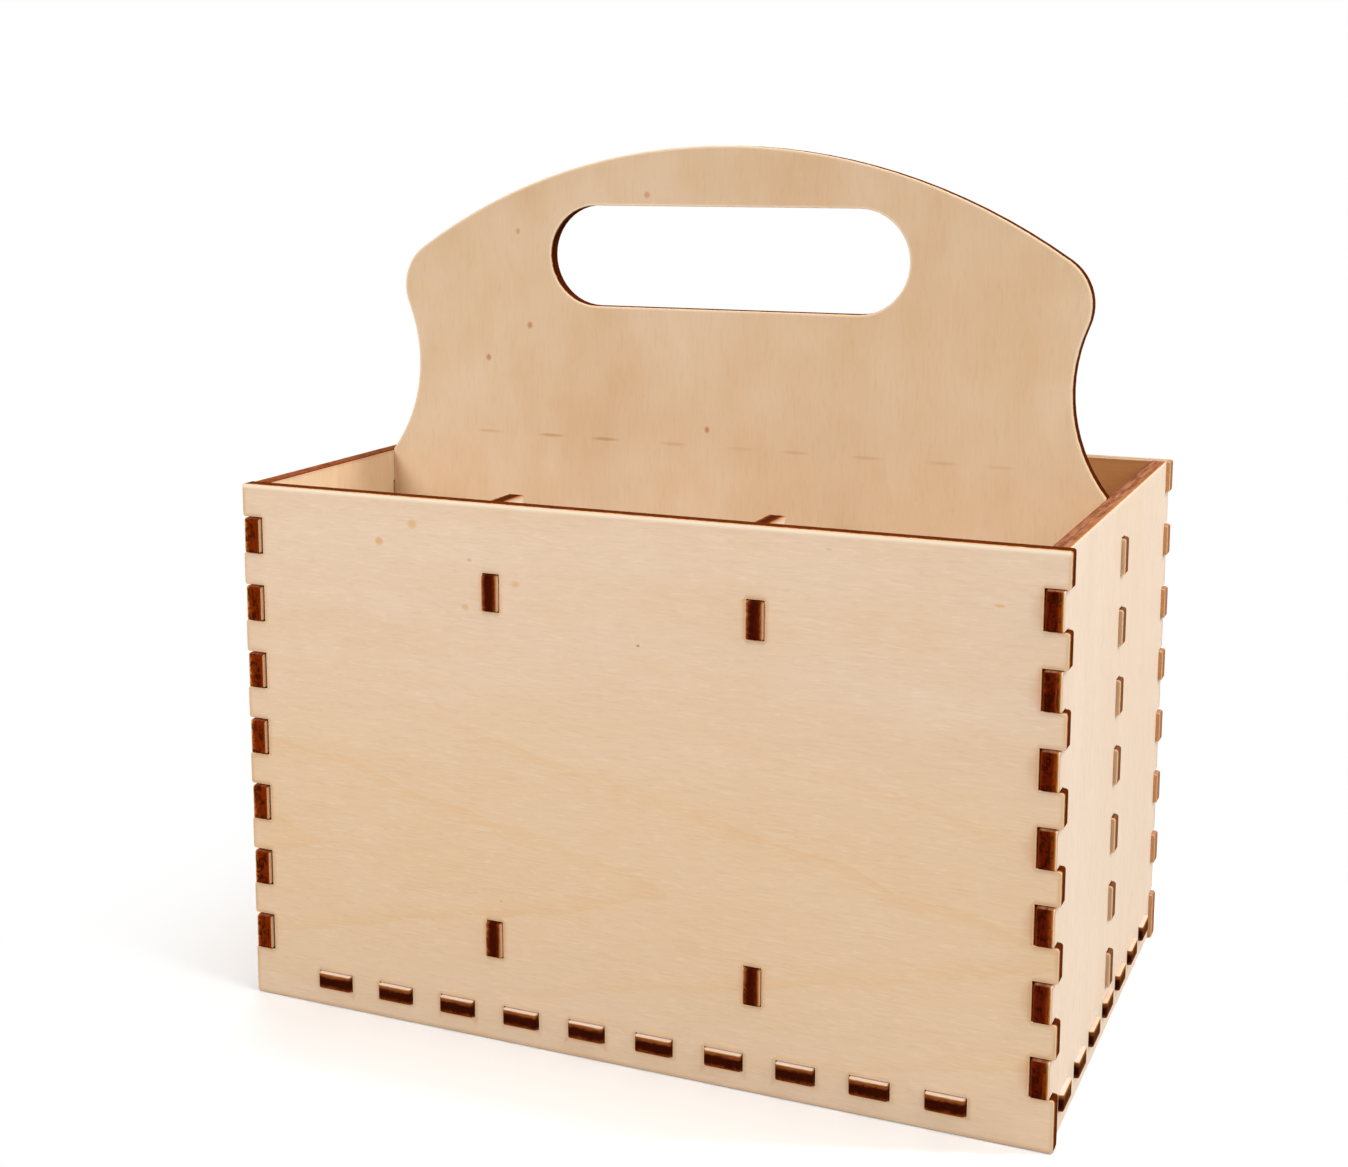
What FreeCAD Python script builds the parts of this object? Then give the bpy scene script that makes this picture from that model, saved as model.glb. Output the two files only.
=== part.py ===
import FreeCAD, Part
import math
import os

Vector = FreeCAD.Vector

# A six-cell bottle caddy cut from one sheet of plywood: four walls, a raised floor,
# a centre wall that carries the grip, and two cross dividers. Nothing is screwed:
# every panel ends in tabs that pass right through the next one and stand a little proud.
# Millimetres, X along the front, front face towards -Y, Z up, standing on Z = 0.

# Sheet and fit
ply = 5.0                 # plywood thickness
fit_gap = 0.2             # room on each side of a tab in its slot
corner_gap = 0.6          # room behind an end wall's tab in its corner notch
tab_stand = 1.4           # how far a tab end stands proud of the face that it passes through
tip_radius = 0.8          # sanded corners of the tab and finger ends

# Bottle cells, three along the front and two deep
cell_width = 78.0
cell_depth = 74.5

# Walls and floor
wall_height = 166.0
floor_raise = 6.0         # underside of the floor above the table
finger_height = 10.5      # wall fingers at the four upright corners
row_height = 11.0         # the tabs between them, also those of the centre wall
centre_drop = 1.0         # how far the centre wall's tabs lie below the corner tabs of the same row
centre_stand = 1.3        # how far they stand proud, a little less than the other tabs
floor_tab = 11.4          # floor tabs, measured along the wall that they pass through
floor_pitch_long = 21.9   # floor tab spacing along the front and back
floor_pitch_short = 21.2  # floor tab spacing along the ends
floor_margin = 7.2        # least distance from an inside corner to the first floor tab

# Cross dividers
tenon_height = 11.0
tenon_drop = 21.2         # top of the wall to the top of the upper tenons
tenon_rise = 15.7         # top of the floor to the underside of the lower tenons
shelf_run = 12.4          # length of the high end of a divider, beside the wall
dip_depth = 20.0          # how far the middle of a divider lies below its high ends
dip_radius = 6.0

# Centre wall above the box: flare, waist, shoulder and arch, tangent to one another
flare_lift = 0.2          # top of the end walls to the start of the flare
waist_inset = 11.0        # from the end wall's inner face to the narrowest place
waist_radius = 50.0
shoulder_inset = 6.0      # from the end wall's inner face to the widest place above the box
shoulder_radius = 16.0
arch_radius = 194.0
grip_width = 121.4
grip_height = 32.5
grip_rim = 19.05          # bar left above the middle of the grip hole

# Places that follow from the sizes above
inner_half_x = (3 * cell_width + 2 * ply) / 2
inner_half_y = (2 * cell_depth + ply) / 2
outer_half_x = inner_half_x + ply
outer_half_y = inner_half_y + ply
tip_half_x = outer_half_x + tab_stand
tip_half_y = outer_half_y + tab_stand
divider_offset = (cell_width + ply) / 2
floor_top = floor_raise + ply
dip_level = wall_height - dip_depth
lap_level = (floor_top + dip_level) / 2
slot_half = ply / 2 + fit_gap
end_radius = min(tip_radius, tab_stand)

row_pitch = finger_height + row_height
row_count = int((wall_height - finger_height) / row_pitch)
rows = [
    (wall_height - (k + 1) * row_pitch, wall_height - k * row_pitch - finger_height)
    for k in reversed(range(row_count))
]
centre_rows = [(low - centre_drop, high - centre_drop) for low, high in rows]
tenons = [
    (floor_top + tenon_rise, floor_top + tenon_rise + tenon_height),
    (wall_height - tenon_drop - tenon_height, wall_height - tenon_drop),
]


def floor_spans(half_length, pitch):
    # tab spans along one side of the floor, evenly spaced about the middle
    count = 1 + int((2 * half_length - 2 * floor_margin - floor_tab) / pitch)
    centres = [(k - (count - 1) / 2) * pitch for k in range(count)]
    return [(centre - floor_tab / 2, centre + floor_tab / 2) for centre in centres]


long_spans = floor_spans(inner_half_x, floor_pitch_long)
short_spans = floor_spans(inner_half_y, floor_pitch_short)


def widened(spans):
    # the slots that take these tabs, with the fit at each end
    return [(low - fit_gap, high + fit_gap) for low, high in spans]


# Outlines are lists of corners (u, v, radius) in the plane of a panel, anticlockwise.

def stepped_edge(spans, base, base_radius, step, step_radius):
    # an edge at u = base that steps to u = step along each span, upwards
    corners = []
    for low, high in spans:
        corners += [
            (base, low, base_radius),
            (step, low, step_radius),
            (step, high, step_radius),
            (base, high, base_radius),
        ]
    return corners


def mirrored(corners):
    # the same edge on the other side, walked the other way
    return [(-u, v, radius) for u, v, radius in reversed(corners)]


def panel_edges(corners, place, closed=True):
    # straight edges through the corners, with an arc where a right-angled corner has a radius
    spots = [place(u, v) for u, v, radius in corners]
    count = len(corners)
    ways = []
    for k, (u, v, radius) in enumerate(corners):
        spot = spots[k]
        if radius == 0 or not closed and k in (0, count - 1):
            ways.append((spot, spot, spot))
            continue
        back = (spots[k - 1] - spot).normalize() * radius
        ahead = (spots[(k + 1) % count] - spot).normalize() * radius
        centre = spot + back + ahead
        ways.append((spot + back, centre + (spot - centre).normalize() * radius, spot + ahead))
    edges = []
    for k, (arrive, middle, leave) in enumerate(ways):
        if arrive != leave:
            edges.append(Part.Arc(arrive, middle, leave).toShape())
        if closed or k + 1 < count:
            edges.append(Part.LineSegment(leave, ways[(k + 1) % count][0]).toShape())
    return edges


def slot_wire(low_u, high_u, low_v, high_v, place):
    corners = [(low_u, low_v), (high_u, low_v), (high_u, high_v), (low_u, high_v), (low_u, low_v)]
    return Part.makePolygon([place(u, v) for u, v in corners])


def plate(edges, holes, across):
    # one panel: its outline and the holes in it, through the thickness of the sheet
    face = Part.makeFace([Part.Wire(edges)] + holes, "Part::FaceMakerBullseye")
    return face.extrude(across * ply)


def long_wall(near_y):
    # front or back: corner fingers, floor slots along the foot, and slots for the divider tenons
    def place(u, v):
        return Vector(u, near_y, v)

    root = inner_half_x - corner_gap
    side = stepped_edge(widened(rows), tip_half_x, end_radius, root, 0)
    side = [(tip_half_x, 0, end_radius)] + side + [(tip_half_x, wall_height, end_radius)]
    holes = [
        slot_wire(low, high, floor_raise - fit_gap, floor_top + fit_gap, place)
        for low, high in widened(long_spans)
    ]
    for offset in (-divider_offset, divider_offset):
        for low, high in widened(tenons):
            holes.append(slot_wire(offset - slot_half, offset + slot_half, low, high, place))
    return plate(panel_edges(side + mirrored(side), place), holes, Vector(0, 1, 0))


def end_wall(near_x):
    # left or right: corner tabs, floor slots along the foot, and slots for the centre wall
    def place(u, v):
        return Vector(near_x, u, v)

    side = stepped_edge(rows, inner_half_y, 0, tip_half_y, end_radius)
    side = [(inner_half_y, 0, 0)] + side + [(inner_half_y, wall_height, 0)]
    holes = [
        slot_wire(low, high, floor_raise - fit_gap, floor_top + fit_gap, place)
        for low, high in widened(short_spans)
    ]
    for low, high in widened(centre_rows):
        holes.append(slot_wire(-slot_half, slot_half, low, high, place))
    return plate(panel_edges(side + mirrored(side), place), holes, Vector(1, 0, 0))


def floor_panel():
    # the floor, with tabs through all four walls
    def place(u, v):
        return Vector(u, v, floor_raise)

    right = stepped_edge(short_spans, inner_half_x, 0, tip_half_x, end_radius)
    right = [(inner_half_x, -inner_half_y, 0)] + right + [(inner_half_x, inner_half_y, 0)]
    front = stepped_edge(long_spans, -inner_half_y, 0, -tip_half_y, end_radius)
    front = [(v, u, radius) for u, v, radius in front]
    back = [(-u, -v, radius) for u, v, radius in front]
    return plate(panel_edges(front + right + back + mirrored(right), place), [], Vector(0, 0, 1))


def divider(offset):
    # one piece from front to back, high at the walls, halved from above for the centre wall
    def place(u, v):
        return Vector(offset - ply / 2, u, v)

    shelf_end = inner_half_y - shelf_run
    side = stepped_edge(tenons, inner_half_y, 0, tip_half_y, end_radius)
    side = [(inner_half_y, floor_top, 0)] + side + [
        (inner_half_y, wall_height, 0),
        (shelf_end, wall_height, end_radius),
        (shelf_end, dip_level, dip_radius),
        (slot_half, dip_level, 0),
        (slot_half, lap_level, 0),
    ]
    return plate(panel_edges(side + mirrored(side), place), [], Vector(1, 0, 0))


def arc_between(centre, radius, start, end, place):
    # a circular arc about centre from start to end degrees, anticlockwise or clockwise
    spots = []
    for angle in (start, (start + end) / 2, end):
        turn = math.radians(angle)
        spots.append(place(centre[0] + radius * math.cos(turn), centre[1] + radius * math.sin(turn)))
    return Part.Arc(*spots).toShape()


def bearing(origin, target):
    return math.degrees(math.atan2(target[1] - origin[1], target[0] - origin[0]))


def centre_wall():
    # full height, halved from below for the dividers, with the arched grip above the box
    def place(u, v):
        return Vector(u, -ply / 2, v)

    flare = (inner_half_x, wall_height + flare_lift)
    waist_x = inner_half_x - waist_inset + waist_radius
    waist = (waist_x, flare[1] + math.sqrt(waist_radius ** 2 - (waist_x - inner_half_x) ** 2))
    shoulder_x = inner_half_x - shoulder_inset - shoulder_radius
    reach = math.sqrt((waist_radius + shoulder_radius) ** 2 - (waist_x - shoulder_x) ** 2)
    shoulder = (shoulder_x, waist[1] + reach)
    arch = (0, shoulder[1] - math.sqrt((arch_radius - shoulder_radius) ** 2 - shoulder_x ** 2))
    crown = arch[1] + arch_radius

    lap_top = lap_level + fit_gap
    foot = []
    for offset in (-divider_offset, divider_offset):
        foot += [
            (offset - slot_half, floor_top, 0),
            (offset - slot_half, lap_top, 0),
            (offset + slot_half, lap_top, 0),
            (offset + slot_half, floor_top, 0),
        ]
    tab_end = outer_half_x + centre_stand
    side = stepped_edge(centre_rows, inner_half_x, 0, tab_end, min(tip_radius, centre_stand))
    side = [(inner_half_x, floor_top, 0)] + side + [(flare[0], flare[1], 0)]
    edges = panel_edges(mirrored(side) + foot + side, place, closed=False)

    # right half of the top, then the same angles turned over for the left half
    left_shoulder = (-shoulder[0], shoulder[1])
    left_waist = (-waist[0], waist[1])
    leave_flare = bearing(waist, flare) % 360
    leave_waist = bearing(waist, shoulder) % 360
    leave_shoulder = bearing(arch, shoulder)
    edges += [
        arc_between(waist, waist_radius, leave_flare, leave_waist, place),
        arc_between(shoulder, shoulder_radius, leave_waist - 180, leave_shoulder, place),
        arc_between(arch, arch_radius, leave_shoulder, 180 - leave_shoulder, place),
        arc_between(left_shoulder, shoulder_radius, 180 - leave_shoulder, 360 - leave_waist, place),
        arc_between(left_waist, waist_radius, 180 - leave_waist, 180 - leave_flare, place),
    ]

    grip_radius = grip_height / 2
    grip_reach = grip_width / 2 - grip_radius
    grip_level = crown - grip_rim - grip_radius
    low, high = grip_level - grip_radius, grip_level + grip_radius
    grip = Part.Wire([
        Part.LineSegment(place(-grip_reach, low), place(grip_reach, low)).toShape(),
        arc_between((grip_reach, grip_level), grip_radius, -90, 90, place),
        Part.LineSegment(place(grip_reach, high), place(-grip_reach, high)).toShape(),
        arc_between((-grip_reach, grip_level), grip_radius, 90, 270, place),
    ])
    print("centre wall crown at", round(crown, 2), "grip centre at", round(grip_level, 2))
    return plate(edges, [grip], Vector(0, 1, 0))


panels = {
    "front_panel": long_wall(-outer_half_y),
    "back_panel": long_wall(inner_half_y),
    "left_end_panel": end_wall(-outer_half_x),
    "right_end_panel": end_wall(inner_half_x),
    "bottom_panel": floor_panel(),
    "handle_panel": centre_wall(),
    "left_divider": divider(-divider_offset),
    "right_divider": divider(divider_offset),
}

os.makedirs("parts", exist_ok=True)
for name, panel in panels.items():
    panel.exportStep("parts/" + name + ".step")
    print(name, "valid", panel.isValid(), "volume", round(panel.Volume, 1), "faces", len(panel.Faces))
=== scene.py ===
import math
from functools import partial

import bmesh
import bpy
import numpy
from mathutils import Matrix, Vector
from mathutils.geometry import delaunay_2d_cdt


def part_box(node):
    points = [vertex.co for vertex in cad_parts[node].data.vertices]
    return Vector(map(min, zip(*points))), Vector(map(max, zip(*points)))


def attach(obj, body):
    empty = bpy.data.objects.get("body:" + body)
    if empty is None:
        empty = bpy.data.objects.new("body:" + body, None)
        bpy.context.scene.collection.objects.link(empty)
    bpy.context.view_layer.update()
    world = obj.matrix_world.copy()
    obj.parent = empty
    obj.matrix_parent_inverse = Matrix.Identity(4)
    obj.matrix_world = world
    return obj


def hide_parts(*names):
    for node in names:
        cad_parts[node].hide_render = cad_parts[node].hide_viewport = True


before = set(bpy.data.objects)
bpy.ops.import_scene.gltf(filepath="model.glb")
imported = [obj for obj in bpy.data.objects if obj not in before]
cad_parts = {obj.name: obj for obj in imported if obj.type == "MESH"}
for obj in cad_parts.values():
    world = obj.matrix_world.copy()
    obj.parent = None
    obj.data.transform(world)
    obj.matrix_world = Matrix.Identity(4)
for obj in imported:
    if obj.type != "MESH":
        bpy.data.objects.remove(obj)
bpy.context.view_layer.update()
scene = bpy.context.scene
mm = 0.001
print("frame loaded:", ", ".join(sorted(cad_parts)))

# settings that many nodes share
colourMix = {"data_type": "RGBA"}
tintMix = {"data_type": "RGBA", "blend_type": "MULTIPLY"}
softStep = {"interpolation_type": "SMOOTHSTEP"}


def hexColour(code):
    # sRGB hex to linear
    parts = [int(code[k:k + 2], 16) / 255 for k in (1, 3, 5)]
    return tuple(c / 12.92 if c <= 0.04045 else ((c + 0.055) / 1.055) ** 2.4 for c in parts) + (1.0,)


def addNode(tree, kind, settings=None, feeds=None):
    # one node with its settings; a feed is a plain value, a socket, or a node whose first output is taken
    node = tree.nodes.new(kind)
    for key, value in (settings or {}).items():
        setattr(node, key, value)
    for key, value in (feeds or {}).items():
        live = [socket for socket in node.inputs if socket.enabled]
        socket = live[key] if isinstance(key, int) else next(s for s in live if s.name == key)
        if isinstance(value, bpy.types.Node):
            value = next(output for output in value.outputs if output.enabled)
        if isinstance(value, bpy.types.NodeSocket):
            tree.links.new(value, socket)
        else:
            socket.default_value = value
    return node


def newMaterial(name):
    # an empty material, and addNode for its tree
    material = bpy.data.materials.new(name)
    material.use_nodes = True
    material.node_tree.nodes.clear()
    return material, partial(addNode, material.node_tree)


# Camera, from a fit of the panels' corners to the photograph
photoCamera = {
    "eye": (0.2241, -0.5691, 0.2670),
    "forward": (-0.3979, 0.9048, -0.1517),
    "focalPixels": 1925.0,
    "axisPixel": (650.5, 448.9),     # where the lens axis meets the picture
    "picture": (1348, 1167),
    "sensorWidth": 36.0,
    "nearClip": 0.01,
}


def makeCamera(look):
    wide, high = look["picture"]
    lens = bpy.data.cameras.new("photoCamera")
    lens.sensor_width = look["sensorWidth"]
    lens.lens = look["focalPixels"] / wide * look["sensorWidth"]
    lens.shift_x = (wide / 2 - look["axisPixel"][0]) / wide
    lens.shift_y = (look["axisPixel"][1] - high / 2) / wide
    lens.clip_start = look["nearClip"]
    camera = bpy.data.objects.new("photoCamera", lens)
    camera.location = look["eye"]
    camera.rotation_mode = "QUATERNION"
    camera.rotation_quaternion = Vector(look["forward"]).to_track_quat("-Z", "Y")
    scene.collection.objects.link(camera)
    scene.camera = camera


makeCamera(photoCamera)
print("camera set")


# Sheet panels: each keeps its CAD outline and gets eased arrises, and knows how far every point is
# from a cut (edgeDistance) and how deep it lies in the sheet (plyDepth)
sheetCut = {
    "ease": 0.3 * mm,            # radius that sanding leaves on the arrises
    "easeSteps": 3,
    "haloRings": (0.8 * mm, 1.9 * mm, 3.6 * mm),
    "haloStep": 2.2 * mm,
    "haloClear": 0.97,           # how much of its distance a ring keeps from every other cut
    "samePoint": 1e-9,
    "weld": 0.002 * mm,
    "flatFacing": 0.995,         # faces that look more squarely along the thickness than this are veneer
    "creaseAngle": 35.0,
}


def cutOutline(name):
    # closed loops round the near face of a CAD panel, the wood on the left of every step
    lowest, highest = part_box(name)
    size = highest - lowest
    across = min(range(3), key=lambda axis: size[axis])
    panel = bmesh.new()
    panel.from_mesh(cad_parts[name].data)
    bmesh.ops.remove_doubles(panel, verts=panel.verts, dist=sheetCut["weld"])
    panel.faces.index_update()
    level = lowest[across] + sheetCut["weld"]
    near = [all(vert.co[across] < level for vert in face.verts) for face in panel.faces]
    following = {}
    for face in panel.faces:
        for corner in face.loops if near[face.index] else ():
            if sum(near[other.index] for other in corner.edge.link_faces) == 1:
                following[corner.vert] = corner.link_loop_next.vert
    loops = []
    while following:
        vert = next(iter(following))
        loop = []
        while vert in following:
            loop.append(vert.co.copy())
            vert = following.pop(vert)
        loops.append(loop)
    panel.free()
    return loops, across, size[across]


def haloPoints(starts, ends, inwards):
    # points on rings inside the outline, where a ring is clear of every other cut
    lengths = numpy.linalg.norm(ends - starts, axis=1)
    reach = numpy.cumsum(lengths)
    places = numpy.arange(sheetCut["haloStep"] / 2, reach[-1], sheetCut["haloStep"])
    pick = numpy.searchsorted(reach, places)
    along = ((places - reach[pick] + lengths[pick]) / lengths[pick])[:, None]
    feet = starts[pick] + (ends[pick] - starts[pick]) * along
    step = ends - starts
    kept = []
    for ring in sheetCut["haloRings"]:
        tries = feet + inwards[pick] * ring
        offset = tries[:, None, :] - starts[None, :, :]
        share = numpy.clip((offset * step).sum(2) / (lengths ** 2), 0, 1)
        gaps = numpy.linalg.norm(offset - share[:, :, None] * step, axis=2).min(1)
        kept += [(point, gap) for point, gap in zip(tries, gaps) if gap > sheetCut["haloClear"] * ring]
    return kept


def flatFace(name):
    # the near face of a panel as a triangle mesh, with edgeDistance and the outward way on its points
    loops, across, thickness = cutOutline(name)
    flat = [axis for axis in range(3) if axis != across]
    axisWay = Vector([float(axis == across) for axis in range(3)])
    level = loops[0][0][across]
    points, outwards, rounds, areas, starts, ends, inwards = [], [], [], [], [], [], []
    for loop in loops:
        first, count = len(points), len(loop)
        ways = [(loop[(k + 1) % count] - loop[k]).normalized().cross(-axisWay) for k in range(count)]
        for k in range(count):
            points.append(Vector([loop[k][axis] for axis in flat]))
            outwards.append((ways[k - 1] + ways[k]) / (1 + ways[k - 1].dot(ways[k])))   # mitred
            starts.append([loop[k][axis] for axis in flat])
            ends.append([loop[(k + 1) % count][axis] for axis in flat])
            inwards.append([-ways[k][axis] for axis in flat])
        area = sum(points[first + k - 1].cross(points[first + k]) for k in range(1, count))
        area += points[-1].cross(points[first])
        rounds.append(list(range(first, first + count))[::1 if area > 0 else -1])
        areas.append(abs(area))
    distances = [0.0] * len(points)
    for point, distance in haloPoints(numpy.array(starts), numpy.array(ends), numpy.array(inwards)):
        points.append(Vector(point))
        outwards.append(Vector((0, 0, 0)))
        distances.append(float(distance))
    # triangles inside the outer loop alone are wood; those inside a slot's loop too are left out
    parts = delaunay_2d_cdt(points, [], rounds, 0, sheetCut["samePoint"], True)
    spots, _, faces, origins, _, owners = parts
    outer = areas.index(max(areas))
    faces = [face for face, owner in zip(faces, owners) if owner == [outer]]
    flatWays = [Vector([float(axis == way) for axis in range(3)]) for way in flat]
    if axisWay.dot(flatWays[0].cross(flatWays[1])) > 0:
        faces = [face[::-1] for face in faces]
    corners = []
    for spot in spots:
        corner = axisWay * level
        for axis, value in zip(flat, spot):
            corner[axis] = value
        corners.append(corner)
    mesh = bpy.data.meshes.new(name + "Face")
    mesh.from_pydata(corners, [], faces)
    mesh.attributes.new("outward", "FLOAT_VECTOR", "POINT")
    mesh.attributes.new("edgeDistance", "FLOAT", "POINT")
    for k, origin in enumerate(origins):
        mesh.attributes["outward"].data[k].vector = outwards[origin[0]]
        mesh.attributes["edgeDistance"].data[k].value = distances[origin[0]]
    return mesh, axisWay, level, thickness


def easedEdge(add, given, nearFace, outward):
    # in steps round the near arris, straight across the plies, and round the far arris
    steps = sheetCut["easeSteps"]
    quarter = [math.pi / 2 * k / steps for k in range(steps + 1)]
    turns = zip(quarter, quarter[1:])
    nearSteps = [(math.sin(b) - math.sin(a), math.cos(a) - math.cos(b)) for a, b in turns]
    farSteps = [(-outStep, inStep) for outStep, inStep in reversed(nearSteps)]
    ease, thickness = given["Arris ease"], given["Sheet thickness"]
    easeTwice = add("ShaderNodeMath", {"operation": "MULTIPLY"}, {0: ease, 1: 2.0})
    straight = add("ShaderNodeMath", {"operation": "SUBTRACT"}, {0: thickness, 1: easeTwice})
    faceCount = add("GeometryNodeInputMeshEdgeNeighbors")
    openEdge = add("FunctionNodeCompare", {"data_type": "INT", "operation": "EQUAL"},
                   {"A": faceCount, "B": 1})
    body, rim = nearFace.outputs[0], openEdge.outputs[0]
    for outStep, inStep in nearSteps + [(0.0, None)] + farSteps:
        depth = straight
        if inStep is not None:
            depth = add("ShaderNodeMath", {"operation": "MULTIPLY"}, {0: ease, 1: inStep})
        down = add("ShaderNodeVectorMath", {"operation": "SCALE"}, {0: given["Across"], "Scale": depth})
        grown = add("GeometryNodeExtrudeMesh", {"mode": "EDGES"},
                    {"Mesh": body, "Selection": rim, "Offset": down, "Offset Scale": 1.0})
        body, rim = grown.outputs["Mesh"], grown.outputs["Top"]
        if outStep:
            spread = add("ShaderNodeMath", {"operation": "MULTIPLY"}, {0: ease, 1: outStep})
            aside = add("ShaderNodeVectorMath", {"operation": "SCALE"}, {0: outward, "Scale": spread})
            moved = add("GeometryNodeSetPosition", None,
                        {"Geometry": body, "Selection": rim, "Offset": aside})
            body = moved.outputs[0]
    return body


def plyPlaces(add, given, whole):
    # what the materials read: depth in the sheet, and the place with that depth taken off
    place = add("GeometryNodeInputPosition")
    height = add("ShaderNodeVectorMath", {"operation": "DOT_PRODUCT"}, {0: place, 1: given["Across"]})
    height = height.outputs["Value"]
    past = add("ShaderNodeMath", {"operation": "SUBTRACT"}, {0: height, 1: given["Face level"]})
    depth = add("ShaderNodeMath", {"operation": "DIVIDE"}, {0: past, 1: given["Sheet thickness"]})
    lift = add("ShaderNodeVectorMath", {"operation": "SCALE"}, {0: given["Across"], "Scale": height})
    inPlane = add("ShaderNodeVectorMath", {"operation": "SUBTRACT"}, {0: place, 1: lift})
    named = add("GeometryNodeStoreNamedAttribute", {"data_type": "FLOAT", "domain": "POINT"},
                {"Geometry": whole, "Name": "plyDepth", "Value": depth})
    named = add("GeometryNodeStoreNamedAttribute", {"data_type": "FLOAT_VECTOR", "domain": "POINT"},
                {"Geometry": named, "Name": "cutPlace", "Value": inPlane})
    return add("GeometryNodeRemoveAttribute", None, {"Geometry": named, "Name": "outward"})


def sheetTree():
    # turns a flat face into a sheet of plywood: eased arrises, cut edges, the far face
    tree = bpy.data.node_groups.new("plywoodSheet", "GeometryNodeTree")
    wanted = (
        ("Face", "NodeSocketGeometry"),
        ("Across", "NodeSocketVector"),
        ("Face level", "NodeSocketFloat"),
        ("Sheet thickness", "NodeSocketFloat"),
        ("Arris ease", "NodeSocketFloat"),
        ("Veneer", "NodeSocketMaterial"),
        ("Cut edge", "NodeSocketMaterial"),
    )
    for label, kind in wanted:
        tree.interface.new_socket(label, in_out="INPUT", socket_type=kind)
    tree.interface.new_socket("Panel", in_out="OUTPUT", socket_type="NodeSocketGeometry")
    add = partial(addNode, tree)
    given = add("NodeGroupInput").outputs
    across, thickness = given["Across"], given["Sheet thickness"]
    outward = add("GeometryNodeInputNamedAttribute", {"data_type": "FLOAT_VECTOR"}, {"Name": "outward"})

    # near face, drawn in by the ease, then the edge and the far face
    drawnIn = add("ShaderNodeMath", {"operation": "MULTIPLY"}, {0: given["Arris ease"], 1: -1.0})
    shift = add("ShaderNodeVectorMath", {"operation": "SCALE"}, {0: outward, "Scale": drawnIn})
    nearFace = add("GeometryNodeSetPosition", None, {"Geometry": given["Face"], "Offset": shift})
    body = easedEdge(add, given, nearFace, outward)
    through = add("ShaderNodeVectorMath", {"operation": "SCALE"}, {0: across, "Scale": thickness})
    turned = add("GeometryNodeFlipFaces", None, {"Mesh": nearFace})
    farFace = add("GeometryNodeSetPosition", None, {"Geometry": turned, "Offset": through})
    joined = add("GeometryNodeJoinGeometry")
    tree.links.new(body, joined.inputs[0])
    tree.links.new(farFace.outputs[0], joined.inputs[0])
    whole = add("GeometryNodeMergeByDistance", None, {"Geometry": joined, "Distance": sheetCut["weld"]})
    named = plyPlaces(add, given, whole)

    # flat faces flat, edges smooth except at their corners
    normal = add("GeometryNodeInputNormal")
    facing = add("ShaderNodeVectorMath", {"operation": "DOT_PRODUCT"}, {0: normal, 1: across})
    square = add("ShaderNodeMath", {"operation": "ABSOLUTE"}, {0: facing.outputs["Value"]})
    limits = {"A": square, "B": sheetCut["flatFacing"]}
    onFace = add("FunctionNodeCompare", {"data_type": "FLOAT", "operation": "GREATER_THAN"}, limits)
    onEdge = add("FunctionNodeCompare", {"data_type": "FLOAT", "operation": "LESS_EQUAL"}, limits)
    angle = add("GeometryNodeInputMeshEdgeAngle")
    crease = add("FunctionNodeCompare", {"data_type": "FLOAT", "operation": "GREATER_THAN"},
                 {"A": angle.outputs["Unsigned Angle"], "B": math.radians(sheetCut["creaseAngle"])})
    shaded = add("GeometryNodeSetShadeSmooth", {"domain": "FACE"},
                 {"Geometry": named, "Selection": onFace, "Shade Smooth": False})
    shaded = add("GeometryNodeSetShadeSmooth", {"domain": "EDGE"},
                 {"Geometry": shaded, "Selection": crease, "Shade Smooth": False})
    real = add("GeometryNodeRealizeInstances", None, {"Geometry": shaded})
    faced = add("GeometryNodeSetMaterial", None,
                {"Geometry": real, "Selection": True, "Material": given["Veneer"]})
    edged = add("GeometryNodeSetMaterial", None,
                {"Geometry": faced, "Selection": onEdge, "Material": given["Cut edge"]})
    add("NodeGroupOutput", None, {"Panel": edged})
    return tree


def makePanel(pieceName, nodeName, tree, veneer, cutEdge):
    face, across, level, thickness = flatFace(nodeName)
    blank = bpy.data.objects.new(pieceName + "Blank", face)
    scene.collection.objects.link(blank)
    modifier = blank.modifiers.new("plywoodSheet", "NODES")
    modifier.node_group = tree
    values = {
        "Across": across,
        "Face level": level,
        "Sheet thickness": thickness,
        "Arris ease": sheetCut["ease"],
        "Veneer": veneer,
        "Cut edge": cutEdge,
    }
    for item in tree.interface.items_tree:
        if item.name in values:
            modifier[item.identifier] = values[item.name]
    depsgraph = bpy.context.evaluated_depsgraph_get()
    mesh = bpy.data.meshes.new_from_object(blank.evaluated_get(depsgraph), preserve_all_data_layers=True,
                                           depsgraph=depsgraph)
    mesh.name = pieceName
    bpy.data.objects.remove(blank)
    bpy.data.meshes.remove(face)
    piece = bpy.data.objects.new(pieceName, mesh)
    scene.collection.objects.link(piece)
    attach(piece, "root")
    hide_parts(nodeName)
    print(pieceName, "made:", len(mesh.polygons), "faces")


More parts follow.
